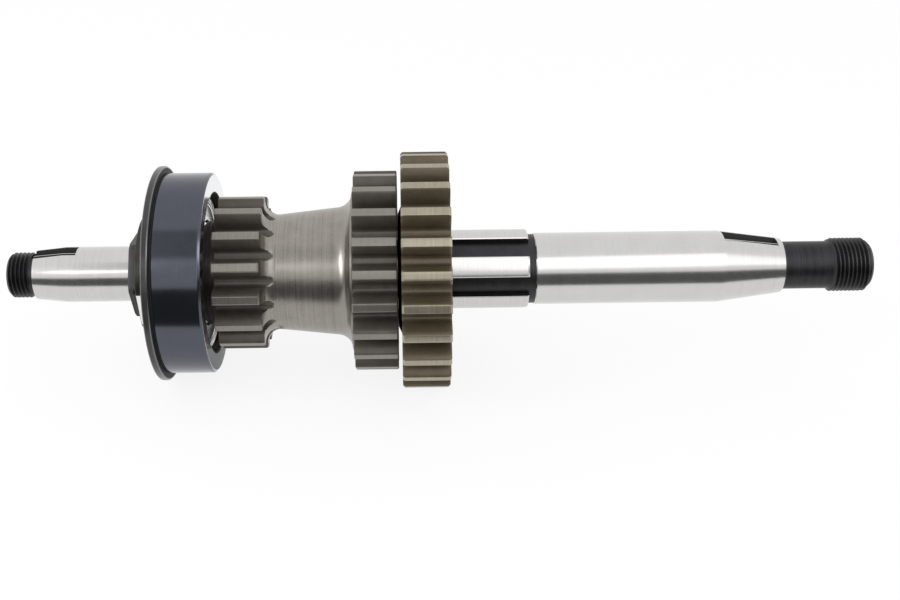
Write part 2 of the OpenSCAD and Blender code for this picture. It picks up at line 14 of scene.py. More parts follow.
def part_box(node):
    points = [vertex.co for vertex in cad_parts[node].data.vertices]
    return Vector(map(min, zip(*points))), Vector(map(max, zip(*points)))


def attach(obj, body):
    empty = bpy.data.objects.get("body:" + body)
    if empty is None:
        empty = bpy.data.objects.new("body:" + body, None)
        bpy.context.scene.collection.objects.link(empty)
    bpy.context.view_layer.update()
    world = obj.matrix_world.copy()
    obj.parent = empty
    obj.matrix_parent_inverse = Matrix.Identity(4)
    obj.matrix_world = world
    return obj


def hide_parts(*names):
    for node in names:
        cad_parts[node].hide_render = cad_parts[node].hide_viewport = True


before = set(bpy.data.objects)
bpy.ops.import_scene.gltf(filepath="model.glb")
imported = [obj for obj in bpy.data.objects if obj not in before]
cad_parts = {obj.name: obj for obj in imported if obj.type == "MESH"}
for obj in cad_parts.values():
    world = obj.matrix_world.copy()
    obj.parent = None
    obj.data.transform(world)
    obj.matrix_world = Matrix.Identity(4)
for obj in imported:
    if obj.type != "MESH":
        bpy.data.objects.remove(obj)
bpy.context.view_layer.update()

MM = 0.001


def span(name):
    """Where a CAD node starts and ends along the shaft."""
    low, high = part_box(name)
    return low.x / MM, high.x / MM


# Sizes shared with the part's source. Only the splines end a little before the solids' own, at
# the photograph's place.

GEAR_MODULE, ADDENDUM, DEDENDUM, PRESSURE = 3.225, 0.8, 1.35, 20
FIRST_TEETH, FIRST_PHASE = 15, 5.4
SECOND_TEETH, SECOND_PHASE = 20, 11.1
THIRD_TEETH, THIRD_PHASE = 24, 5.4

FIRST_WIDTH, FIRST_BEVEL, WAIST_LENGTH, WEB_STEP = 15.3, 0.5, 30.1, 0.8
HUB_STEP, RECESS_DEPTH, COLLAR_DEPTH = 1.2, 4.2, 3.0
SPLINE_LENGTH, SPLINE_RELIEF, PLAIN_LENGTH = 27.4, 2.4, 64.0
CLUTCH_TAPER_LENGTH, NECK_LENGTH = 22.2, 16.8
KICK_THREAD_LENGTH, KICK_TAPER_LENGTH = 9, 10.6
RING_PLAY, RING_GROOVE_WIDTH, RING_GROOVE_R = 0.075, 1.45, 12.95

shaft_x0, shaft_x1 = span("mainshaft")
first_x, second_end = span("first_second_gear")
third_hub, third_end = span("third_gear")
washer_x, _ = span("bearing_washer")
nut_x, lock_x = span("bearing_nut")
spacer_x, _ = span("bearing_spacer")
housing_x, housing_end = span("bearing_housing")

first_end = first_x + FIRST_WIDTH
waist_x = first_end + FIRST_BEVEL
web_x = waist_x + WAIST_LENGTH
second_x = web_x + WEB_STEP
third_x = third_hub + HUB_STEP
recess_x = third_end - RECESS_DEPTH
ring_x = span("third_gear_retaining_ring")[0] - RING_PLAY
spline_end = third_end + SPLINE_LENGTH
plain_x = spline_end + SPLINE_RELIEF
taper_x = plain_x + PLAIN_LENGTH
neck_x = taper_x + CLUTCH_TAPER_LENGTH
thread_x = neck_x + NECK_LENGTH
kick_thread_end = shaft_x0 + KICK_THREAD_LENGTH
kick_taper_end = kick_thread_end + KICK_TAPER_LENGTH

SPLINE_R, SPLINE_ROOT_R, SPLINE_W, SPLINES = 14.15, 12.2, 7.07, 6
PLAIN_R, TAPER_R, NECK_R, THREAD_R = 12.5, 9.5, 8.3, 9.35
KICK_R, KICK_TAPER_R, KICK_THREAD_R = 9.65, 8.55, 7.95
NUT_THREAD_R, SEAT_R, COLLAR_R, RELIEF_R = 10.0, 12.5, 16.5, 12.1
BORE_R, BORE_CHAMFER = 4.35, 1.2
FIT = 0.02
PITCH = 1.41
NUT_TURN = 202.7

# Keyways: half the width, and for each where it starts and ends and how high its floor lies
KEY_HALF = 3.175
KICK_KEY = (kick_thread_end - 1, kick_thread_end + 15, 6.1)
CLUTCH_KEY = (neck_x - 20.9, neck_x - 1.9, 8.0)


# Materials

PATCH_SHARE, GRAIN_SHARE, RING_SHARE = 0.25, 0.15, 0.6
MIX_LOW, MIX_HIGH = 0.36, 0.64
STREAK_SIZE, STREAK_STRETCH = 0.35, (0.06, 1, 1)


def node(tree, kind, inputs=None, **settings):
    """A shader node with its settings and its inputs, each a value or another node's output."""
    made = tree.nodes.new(kind)
    for key, value in settings.items():
        setattr(made, key, value)
    for key, value in (inputs or {}).items():
        if isinstance(value, bpy.types.NodeSocket):
            tree.links.new(value, made.inputs[key])
        else:
            made.inputs[key].default_value = value
    return made


def vector_math(tree, operation, first, second=None):
    inputs = {0: first} if second is None else {0: first, 1: second}
    return node(tree, "ShaderNodeVectorMath", inputs, operation=operation).outputs


def math_node(tree, operation, *values):
    return node(tree, "ShaderNodeMath", dict(enumerate(values)), operation=operation).outputs[0]


def blank_material(name):
    made = bpy.data.materials.new(name)
    made.use_nodes = True
    made.node_tree.nodes.clear()
    return made, made.node_tree


def ramp(tree, value, dark, light):
    """Takes the mix of the marks to a colour between dark and light."""
    out = node(tree, "ShaderNodeValToRGB", {"Fac": value})
    first, last = out.color_ramp.elements
    first.position, last.position = MIX_LOW, MIX_HIGH
    first.color, last.color = (*dark, 1), (*light, 1)
    return out.outputs["Color"]


def metal(name, dark, light, rough, metallic=1.0, rings=0.0, ring_size=0.2, streaks=0.0, grain=0.0,
          grain_size=0.5, patch_size=4.0):
    """A metal surface with patches of colour, and fine rings, streaks or grain cut into it.

    Rings run round the shaft, as turning leaves them, and streaks run along it. rings, streaks and
    grain are depths in thousandths of a millimetre, and the sizes are in millimetres.
    """
    made, tree = blank_material(name)
    place = node(tree, "ShaderNodeTexCoord").outputs["Object"]
    place = vector_math(tree, "MULTIPLY", place, (1 / MM,) * 3)[0]
    parts = node(tree, "ShaderNodeSeparateXYZ", {0: place}).outputs
    across = node(tree, "ShaderNodeCombineXYZ", {"X": parts["Y"], "Y": parts["Z"]}).outputs[0]
    radius = vector_math(tree, "LENGTH", across)["Value"]
    around = node(tree, "ShaderNodeCombineXYZ", {"X": parts["X"], "Y": radius}).outputs[0]

    def noise(vector, size, detail):
        inputs = {"Vector": vector, "Scale": 1 / size, "Detail": detail, "Roughness": 0.6}
        return node(tree, "ShaderNodeTexNoise", inputs).outputs["Fac"]

    patches = noise(place, patch_size, 6)
    fine = noise(place, grain_size, 4)
    cut_rings = noise(around, ring_size, 3)
    mix = math_node(tree, "MULTIPLY", patches, PATCH_SHARE)
    mix = math_node(tree, "MULTIPLY_ADD", fine, GRAIN_SHARE, mix)
    mix = math_node(tree, "MULTIPLY_ADD", cut_rings, RING_SHARE, mix)
    shine = node(tree, "ShaderNodeMapRange", {
        "Value": mix, "From Min": MIX_LOW, "From Max": MIX_HIGH,
        "To Min": rough[0], "To Max": rough[1],
    }).outputs["Result"]

    marks = [(cut_rings, rings)]
    if streaks:
        along = vector_math(tree, "MULTIPLY", place, STREAK_STRETCH)[0]
        marks.append((noise(along, STREAK_SIZE, 3), streaks))
    marks.append((fine, grain))
    surface = {"Base Color": ramp(tree, mix, dark, light), "Roughness": shine, "Metallic": metallic}
    for height, depth in marks:
        if depth:
            inputs = {"Height": height, "Strength": 1.0, "Distance": depth * MM * MM}
            if "Normal" in surface:
                inputs["Normal"] = surface["Normal"]
            surface["Normal"] = node(tree, "ShaderNodeBump", inputs).outputs["Normal"]
    shader = node(tree, "ShaderNodeBsdfPrincipled", surface)
    node(tree, "ShaderNodeOutputMaterial", {"Surface": shader.outputs["BSDF"]})
    return made


# The shaft, the nut and the washers
GROUND = metal("ground_steel", (0.56, 0.555, 0.545), (0.66, 0.655, 0.645), (0.16, 0.22),
               rings=1.0, ring_size=0.16, patch_size=9)
OXIDE = metal("black_oxide", (0.030, 0.030, 0.032), (0.070, 0.070, 0.073), (0.34, 0.48),
              grain=3, grain_size=0.4)
NECK = metal("oxidised_neck", (0.028, 0.028, 0.030), (0.060, 0.060, 0.063), (0.36, 0.5),
             rings=3, ring_size=0.3)
# Painted shade: a near-black, dull colour laid on the keyways, the housing's groove and bore, and
# the shields' inner edges, where shade falls in these recesses
PAINTED_SHADE = metal("slot_black", (0.008, 0.008, 0.008), (0.022, 0.021, 0.020), (0.55, 0.7),
             metallic=0.0, grain=3)
WASHER = metal("dark_washer", (0.040, 0.038, 0.034), (0.085, 0.080, 0.070), (0.3, 0.42),
               rings=3, ring_size=0.25)
TAB = metal("bright_flat", (0.78, 0.78, 0.74), (0.90, 0.90, 0.86), (0.14, 0.22), grain=1)

# The bearing and its housing
BLUED = metal("blued_steel", (0.080, 0.086, 0.107), (0.104, 0.111, 0.134), (0.13, 0.19),
              rings=0.8, ring_size=0.25)
RIM = metal("worn_rim", (0.74, 0.75, 0.76), (0.88, 0.89, 0.90), (0.12, 0.2), rings=1)
FLANGE = metal("oxidised_flange", (0.016, 0.015, 0.016), (0.040, 0.038, 0.039), (0.16, 0.26),
               metallic=0.0, rings=2, ring_size=0.3)
EDGE = metal("flange_edge", (0.13, 0.13, 0.135), (0.22, 0.22, 0.23), (0.2, 0.3), rings=1)
SHIELD = metal("shield_steel", (0.78, 0.78, 0.76), (0.90, 0.90, 0.88), (0.14, 0.22), grain=1)
BEARING = metal("bearing_steel", (0.70, 0.70, 0.69), (0.84, 0.84, 0.83), (0.10, 0.18),
                rings=0.6, ring_size=0.12)
PRESSED = metal("pressed_steel", (0.58, 0.58, 0.57), (0.72, 0.72, 0.71), (0.26, 0.36), grain=1)

# The gears: tips of the teeth, sides of the teeth, waist and flat faces
LAND = metal("tooth_land", (0.20, 0.188, 0.168), (0.285, 0.268, 0.24), (0.30, 0.38),
             metallic=0.78, rings=2, ring_size=0.3)
FLANK = metal("tooth_flank", (0.064, 0.056, 0.047), (0.115, 0.102, 0.087), (0.3, 0.42),
              metallic=0.45, streaks=4, grain=1)
CONE = metal("turned_waist", (0.24, 0.223, 0.20), (0.37, 0.348, 0.315), (0.26, 0.34),
             rings=4, ring_size=0.35)
FACE = metal("gear_face", (0.15, 0.14, 0.125), (0.23, 0.215, 0.195), (0.28, 0.38),
             rings=3, ring_size=0.3)
THIRD_LAND = metal("third_land", (0.30, 0.273, 0.21), (0.41, 0.372, 0.29), (0.30, 0.38),
                   metallic=0.78, rings=2, ring_size=0.3)
THIRD_FLANK = metal("third_flank", (0.074, 0.060, 0.037), (0.138, 0.114, 0.074), (0.28, 0.4),
                    metallic=0.45, streaks=4, grain=1)
THIRD_FACE = metal("third_face", (0.19, 0.178, 0.145), (0.28, 0.265, 0.215), (0.28, 0.38),
                   rings=3, ring_size=0.3)
BRONZE = metal("bronze", (0.50, 0.31, 0.13), (0.70, 0.47, 0.22), (0.28, 0.4), rings=3)


# Meshes made of rows round the shaft

SMOOTH_ANGLE = math.radians(34)
ROUNDING_STEPS, ROUNDING_HOLD = 3, 0.08
SIDE_SHARE, LEAST_TURN, LEAST_CUT = 0.45, 15, 0.02
TURNED_COUNT = 192


def smooth(mesh):
    """Shades a mesh smooth, except over edges sharper than the angle."""
    mesh.shade_smooth()
    mesh.set_sharp_from_angle(angle=SMOOTH_ANGLE)


def piece(name, points, faces, materials, indices):
    """A mesh object from points in millimetres."""
    mesh = bpy.data.meshes.new(name)
    mesh.from_pydata([[c * MM for c in p] for p in points], [], faces)
    for material in materials:
        mesh.materials.append(material)
    mesh.polygons.foreach_set("material_index", indices)
    bm = bmesh.new()
    bm.from_mesh(mesh)
    bmesh.ops.remove_doubles(bm, verts=bm.verts, dist=2e-7)
    bmesh.ops.dissolve_degenerate(bm, edges=bm.edges, dist=1e-7)
    bmesh.ops.recalc_face_normals(bm, faces=bm.faces)
    bm.to_mesh(mesh)
    bm.free()
    smooth(mesh)
    made = bpy.data.objects.new(name, mesh)
    bpy.context.scene.collection.objects.link(made)
    return made


def skin(name, rows, materials, pick=lambda i, j: 0, seams=()):
    """A ring-shaped solid made of rows round the shaft, the last joined to the first.

    A row is a list of points (x, radius, angle), and pick gives the material of the face at a row
    and a column. Over the rows of a seam (first, last, shift) the surface climbs like a screw, by
    shift rows each turn.
    """
    count = len(rows[0])
    points = [
        (x, r * math.cos(math.radians(a)), r * math.sin(math.radians(a)))
        for row in rows for x, r, a in row
    ]
    seam_at = {i: (shift, last) for first, last, shift in seams for i in range(first, last)}
    faces, indices = [], []
    for i in range(len(rows)):
        k = (i + 1) % len(rows)
        for j in range(count):
            near = (i * count + j, k * count + j)
            if j < count - 1:
                far = (k * count + j + 1, i * count + j + 1)
            else:
                shift, last = seam_at.get(i, (0, 0))
                far_i, far_k = (min(i + shift, last), min(k + shift, last)) if shift else (i, k)
                far = (far_k * count, far_i * count)
            faces.append(near + far)
            indices.append(pick(i, j))
    return piece(name, points, faces, materials, indices)


def even_angles(count):
    return [i * 360 / count for i in range(count)]


def ring_row(x, r, angles):
    return [(x, r, a) for a in angles]


def angle_off(angle, middle):
    """How far an angle lies from another, in degrees."""
    return abs((angle - middle + 180) % 360 - 180)


def rounded(outline, size):
    """The outline of a turned piece, with each of its corners rounded.

    A point a little beyond each end of a rounding keeps the long faces beside it straight in their
    shading.
    """
    out = []
    count = len(outline)
    for i, corner in enumerate(outline):
        corner = Vector(corner)
        before, after = Vector(outline[i - 1]) - corner, Vector(outline[(i + 1) % count]) - corner
        room_before, room_after = before.length * SIDE_SHARE, after.length * SIDE_SHARE
        cut = min(size, room_before, room_after)
        if math.degrees(before.angle(-after)) < LEAST_TURN or cut < LEAST_CUT:
            out.append(tuple(corner))
            continue
        before, after = before.normalized(), after.normalized()
        if cut + ROUNDING_HOLD < room_before:
            out.append(tuple(corner + before * (cut + ROUNDING_HOLD)))
        a, b = corner + before * cut, corner + after * cut
        for step in range(ROUNDING_STEPS + 1):
            t = step / ROUNDING_STEPS
            out.append(tuple(a * (1 - t) ** 2 + corner * 2 * t * (1 - t) + b * t ** 2))
        if cut + ROUNDING_HOLD < room_after:
            out.append(tuple(corner + after * (cut + ROUNDING_HOLD)))
    return out


def turned(name, outline, material, rounding, other=(), choose=lambda x, r: 0):
    """A turned piece from a closed outline of points (x, radius).

    choose takes the middle (x, radius) of a face to the number of its material.
    """
    angles = even_angles(TURNED_COUNT)
    profile = rounded(outline, rounding)

    def pick(i, _):
        here, there = profile[i], profile[(i + 1) % len(profile)]
        return choose((here[0] + there[0]) / 2, (here[1] + there[1]) / 2)

    return skin(name, [ring_row(x, r, angles) for x, r in profile], [material, *other], pick)


def dress(made, body, slot, *nodes):
    """Lets a piece stand for CAD nodes, on their body; its slot argument is not used."""
    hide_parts(*nodes)
    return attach(made, body)


# Teeth

ROOT, SIDE, TIP = "root", "side", "tip"
ROOT_FILLET, TIP_ROUNDING = 0.43 * GEAR_MODULE, 0.22
FILLET_STEPS, SIDE_STEPS = 5, 7


def tip_radius(teeth):
    return GEAR_MODULE * (teeth / 2 + ADDENDUM)


def root_radius(teeth):
    return GEAR_MODULE * (teeth / 2 - DEDENDUM)


def base_radius(teeth):
    return GEAR_MODULE * teeth / 2 * math.cos(math.radians(PRESSURE))


def half_tooth(teeth, r):
    """Half the angle that an involute tooth takes up at a radius."""

    def involute(a):
        return math.degrees(math.tan(a)) - math.degrees(a)

    at_r = math.acos(min(1, base_radius(teeth) / r))
    return 90 / teeth + involute(math.radians(PRESSURE)) - involute(at_r)


def tooth_side(teeth):
    """One side of a tooth, from the middle of the gap to the tip, as (half angle, radius, zone)."""
    root, tip = root_radius(teeth), tip_radius(teeth)
    base = max(root, base_radius(teeth))
    base_half = half_tooth(teeth, base)
    fillet_half = math.degrees(ROOT_FILLET / root)
    side = [(180 / teeth, root, ROOT)]
    for step in range(FILLET_STEPS + 1):
        a = math.radians(90 * step / FILLET_STEPS)
        half = base_half + fillet_half * (1 - math.sin(a))
        side.append((half, root + ROOT_FILLET * (1 - math.cos(a)), ROOT))
    low, high = max(base, root + ROOT_FILLET * 1.1), tip - TIP_ROUNDING
    for step in range(SIDE_STEPS + 1):
        r = low + (high - low) * step / SIDE_STEPS
        side.append((half_tooth(teeth, r), r, SIDE))
    tip_half, edge_half = half_tooth(teeth, tip), math.degrees(TIP_ROUNDING / tip)
    side.append((tip_half - edge_half * 0.3, tip - TIP_ROUNDING * 0.3, TIP))
    side.append((tip_half - edge_half, tip, TIP))
    side.append(((tip_half - edge_half) / 2, tip, TIP))
    return side


def tooth_columns(teeth, phase):
    """Every column of a toothed wheel as (angle, radius, zone), once round."""
    side = tooth_side(teeth)
    out = []
    for t in range(teeth):
        middle = phase + t * 360 / teeth
        out += [(middle - half, r, zone) for half, r, zone in side]
        out.append((middle, tip_radius(teeth), TIP))
        out += [(middle + half, r, zone) for half, r, zone in reversed(side[1:])]
    return out


def radius_between(columns, angle):
    """Radius and zone of a toothed wheel at any angle."""
    first = columns[0][0]
    angle = first + (angle - first) % 360
    before = columns[0]
    for column in columns[1:] + [(columns[0][0] + 360, *columns[0][1:])]:
        if column[0] >= angle:
            step = column[0] - before[0]
            t = (angle - before[0]) / step if step > 1e-9 else 0
            return before[1] + (column[1] - before[1]) * t, before[2]
        before = column
    return before[1], before[2]


# Gears

WAIST_FILLET, WAIST_R, WAIST_END_R = 4.6, 20.1, 22.3
WAIST_END_ANGLE = 275
HOB_R, RUN_OUT = 35.0, 9.2
ARC_STEPS = 14


def cluster_columns():
    """The columns of both toothed wheels, as (angle, radius, zone, second's radius and zone)."""
    first = tooth_columns(FIRST_TEETH, FIRST_PHASE)
    second = tooth_columns(SECOND_TEETH, SECOND_PHASE)
    columns = [(angle, r, zone, *radius_between(second, angle)) for angle, r, zone in first]
    columns += [(angle, *radius_between(first, angle), r, zone) for angle, r, zone in second]
    start = FIRST_PHASE - 180 / FIRST_TEETH
    columns = [((c[0] - start) % 360 + start, *c[1:]) for c in columns]
    return sorted(columns, key=lambda c: round(c[0], 7))


def hobbed(c, x):
    """Radius at a column of the first gear's gaps, which grow shallow where the hob leaves them."""
    past = max(0, x - first_end)
    return c[1] + HOB_R - math.sqrt(max(0, HOB_R ** 2 - past ** 2))


def make_cluster():
    """The first gear, the waist and the second gear, as one piece."""
    tip1, tip2 = tip_radius(FIRST_TEETH), tip_radius(SECOND_TEETH)
    root2 = root_radius(SECOND_TEETH)
    web_fillet = root2 - WAIST_END_R
    edge, soft, bevel = 0.35, 0.12, 0.4
    face_r, web_r = 18.5, 22.0
    collar_x, collar_r = second_end - COLLAR_DEPTH - FIT, COLLAR_R + FIT
    columns = cluster_columns()
    rows, kinds = [], []

    def row(x, radius, kind):
        rows.append([(x, radius(c), c[0]) for c in columns])
        kinds.append(kind)

    row(first_x, lambda c: SPLINE_R + FIT, "face")
    row(first_x, lambda c: face_r, "face")
    row(first_x, lambda c: min(c[1] - soft, tip1 - edge), "first")
    row(first_x + soft, lambda c: min(c[1], tip1 - edge + soft), "first")
    row(first_x + edge, lambda c: c[1], "first")
    row(first_end, lambda c: c[1], "first")
    for step in range(1, 5):
        x = first_end + (waist_x - first_end) * step / 4
        limit = tip1 - bevel * step / 4
        row(x, lambda c: min(limit, hobbed(c, x)), "first")

    # The gaps run out into the waist's fillet and then into its cone
    row(waist_x, lambda c: min(WAIST_R + WAIST_FILLET, hobbed(c, waist_x)), "run_out")
    for step in range(1, ARC_STEPS + 1):
        a = math.radians(90 * step / ARC_STEPS)
        x = waist_x + WAIST_FILLET * (1 - math.cos(a))
        limit = WAIST_R + WAIST_FILLET * (1 - math.sin(a))
        row(x, lambda c: min(limit, hobbed(c, x)), "run_out")
    cone_x = waist_x + WAIST_FILLET
    cone_end = web_x - web_fillet * (1 - math.cos(math.radians(WAIST_END_ANGLE)))
    cone_end_r = root2 + web_fillet * math.sin(math.radians(WAIST_END_ANGLE))
    gaps_end = first_end + RUN_OUT
    for step in range(1, 9):
        x = cone_x + (gaps_end - cone_x) * step / 8
        limit = WAIST_R + (cone_end_r - WAIST_R) * (x - cone_x) / (cone_end - cone_x)
        row(x, lambda c: min(limit, hobbed(c, x)) if x < gaps_end else limit, "run_out")
    for step in range(1, 7):
        x = gaps_end + (cone_end - gaps_end) * step / 6
        limit = WAIST_R + (cone_end_r - WAIST_R) * (x - cone_x) / (cone_end - cone_x)
        row(x, lambda c: limit, "waist")
    for step in range(1, ARC_STEPS + 1):
        a = math.radians(WAIST_END_ANGLE + (360 - WAIST_END_ANGLE) * step / ARC_STEPS)
        x = web_x - web_fillet + web_fillet * math.cos(a)
        row(x, lambda c: root2 + web_fillet * math.sin(a), "waist")

    row(web_x + 0.6, lambda c: root2, "face")
    row(second_x, lambda c: root2 + 0.2, "face")
    row(second_x, lambda c: max(root2 + 0.3, min(c[3] - soft, tip2 - edge)), "second")
    row(second_x + soft, lambda c: max(root2 + 0.1, min(c[3], tip2 - edge + soft)), "second")
    row(second_x + edge, lambda c: c[3], "second")
    row(second_end - edge, lambda c: c[3], "second")
    row(second_end - soft, lambda c: min(c[3], tip2 - edge + soft), "second")
    row(second_end, lambda c: min(c[3] - soft, tip2 - edge), "face")
    row(second_end, lambda c: web_r, "face")
    row(second_end, lambda c: collar_r, "face")
    row(collar_x, lambda c: collar_r, "face")
    row(collar_x, lambda c: SPLINE_R + FIT, "face")

    materials = [LAND, FLANK, CONE, FACE]
    count = len(columns)

    def pick(i, j):
        here, there = columns[j], columns[(j + 1) % count]
        kind = kinds[i]
        if kind in ("first", "second"):
            zone = 2 if kind == "first" else 4
            return 0 if here[zone] == TIP and there[zone] == TIP else 1
        if kind == "run_out":
            x, r = rows[i][j][:2]
            far_x, far_r = rows[i + 1][(j + 1) % count][:2]
            in_gap = abs(r - hobbed(here, x)) < 0.01 and abs(far_r - hobbed(there, far_x)) < 0.01
            return 1 if in_gap else 2
        return 2 if kind == "waist" else 3

    made = skin("first_second_gear_dressed", rows, materials, pick)
    dress(made, "shaft", "gear_steel", "first_second_gear")


def prism(outline, x0, x1):
    """A closed straight solid from an outline of points (y, z), used to cut another."""
    count = len(outline)
    points = [(x0, y, z) for y, z in outline] + [(x1, y, z) for y, z in outline]
    faces = [tuple(reversed(range(count))), tuple(range(count, 2 * count))]
    faces += [(i, (i + 1) % count, (i + 1) % count + count, i + count) for i in range(count)]
    return piece("cutter", points, faces, [THIRD_FACE], [0] * len(faces))


def cut_away(made, cutters):
    """Cuts solids out of a piece and throws them away."""
    for cutter in cutters:
        tool = made.modifiers.new("cut", "BOOLEAN")
        tool.operation, tool.solver, tool.object = "DIFFERENCE", "EXACT", cutter
    bpy.context.view_layer.update()
    graph = bpy.context.evaluated_depsgraph_get()
    mesh = bpy.data.meshes.new_from_object(made.evaluated_get(graph), depsgraph=graph)
    made.modifiers.clear()
    made.data = mesh
    for cutter in cutters:
        bpy.data.objects.remove(cutter)
    smooth(mesh)


def dog_pockets(bore_r):
    """The cutters of the third gear's four dog pockets, wedges with a round outer end."""
    half, pockets, depth, over = math.radians(20.25), 4, 7, 2
    near, outer_r, outer_from = 18.0, 27.0, 25.3
    side, reach = bore_r * math.tan(half), 54 / math.cos(half)
    slope = (reach * math.tan(half) - side) / (reach - near)
    outer_half = math.degrees(math.asin((side + slope * (outer_from - near)) / outer_r))
    outline = [(near, -side)]
    for step in range(17):
        a = math.radians(-outer_half + 2 * outer_half * step / 16)
        outline.append((outer_r * math.cos(a), outer_r * math.sin(a)))
    outline.append((near, side))
    cutters = []
    for k in range(pockets):
        turn = math.radians(THIRD_PHASE + 360 / pockets * k)
        c, s = math.cos(turn), math.sin(turn)
        wedge = [(y * c - z * s, y * s + z * c) for y, z in outline]
        cutters.append(prism(wedge, third_end - depth, third_end + over))
    return cutters


def make_third():
    """The third gear, with its hub on the left, and its recess and dog pockets on the right."""
    tip, root = tip_radius(THIRD_TEETH), root_radius(THIRD_TEETH)
    edge, soft = 0.7, 0.15
    bore_r, hub_r, hub_foot_r, recess_r = 16.0, 20.1, 22.5, 19.0
    columns = tooth_columns(THIRD_TEETH, THIRD_PHASE)
    rows, kinds = [], []

    def row(x, radius, kind):
        rows.append([(x, radius(c), c[0]) for c in columns])
        kinds.append(kind)

    row(third_hub, lambda c: bore_r, "face")
    row(third_hub, lambda c: hub_r - 0.3, "face")
    row(third_hub + 0.15, lambda c: hub_r, "face")
    row(third_x, lambda c: hub_foot_r, "face")
    row(third_x, lambda c: root - 2, "face")
    row(third_x, lambda c: min(c[1] - soft, tip - edge), "teeth")
    row(third_x + soft, lambda c: min(c[1], tip - edge + soft), "teeth")
    row(third_x + edge, lambda c: c[1], "teeth")
    row(third_end - edge, lambda c: c[1], "teeth")
    row(third_end - soft, lambda c: min(c[1], tip - edge + soft), "teeth")
    row(third_end, lambda c: min(c[1] - soft, tip - edge), "face")
    row(third_end, lambda c: root - 1.5, "face")
    row(third_end, lambda c: recess_r + 0.2, "face")
    row(third_end - 0.2, lambda c: recess_r, "face")
    row(recess_x, lambda c: recess_r, "face")
    row(recess_x, lambda c: bore_r, "face")
    count = len(columns)

    def pick(i, j):
        if kinds[i] == "face":
            return 2
        return 0 if columns[j][2] == TIP and columns[(j + 1) % count][2] == TIP else 1

    made = skin("third_gear_dressed", rows, [THIRD_LAND, THIRD_FLANK, THIRD_FACE], pick)
    cut_away(made, dog_pockets(bore_r))
    dress(made, "free_gear", "bronzed_steel", "third_gear")


# Main shaft

KEY_MIDDLE, KEY_SPREAD, KEY_CLEAR, BRINK = 90, 22, 27, 23.5
SPLINE_EDGE, SPLINE_END_EDGE = 0.25, 0.6
THREAD_STEPS, THREAD_DEPTH, THREAD_FLAT = 12, 0.61 * PITCH, 0.1
spline_edge_half = math.degrees(math.asin(SPLINE_W / 2 / SPLINE_R) - SPLINE_EDGE / SPLINE_R)


def shaft_columns():
    """Columns (angle, kind): even ones, the splines' corners, the keyways' floor and its brinks."""
    land_half = math.degrees(math.asin(SPLINE_W / 2 / SPLINE_R))
    root_half = math.degrees(math.asin(SPLINE_W / 2 / SPLINE_ROOT_R))
    corner_half = land_half + (root_half - land_half) * 0.13
    corners = ((spline_edge_half, "edge"), (corner_half, "corner"), (root_half, "root"))
    columns = [(a, "even") for a in even_angles(96)]
    for k in range(SPLINES):
        middle = KEY_MIDDLE + k * 360 / SPLINES
        for side in (-1, 1):
            columns += [((middle + side * half) % 360, kind) for half, kind in corners]
    columns = [c for c in columns if c[1] != "even" or abs(c[0] - KEY_MIDDLE) > KEY_CLEAR]
    columns += [(KEY_MIDDLE + KEY_SPREAD * (1 - i / 4), "slot") for i in range(9)]
    columns += [(KEY_MIDDLE + BRINK, "brink"), (KEY_MIDDLE - BRINK, "brink")]
    return sorted(columns)


def spline_radius(angle, kind):
    if kind == "corner":
        return SPLINE_R - SPLINE_EDGE
    pitch = 360 / SPLINES
    off = abs((angle - KEY_MIDDLE + pitch / 2) % pitch - pitch / 2)
    return SPLINE_R if off <= spline_edge_half + 1e-6 else SPLINE_ROOT_R


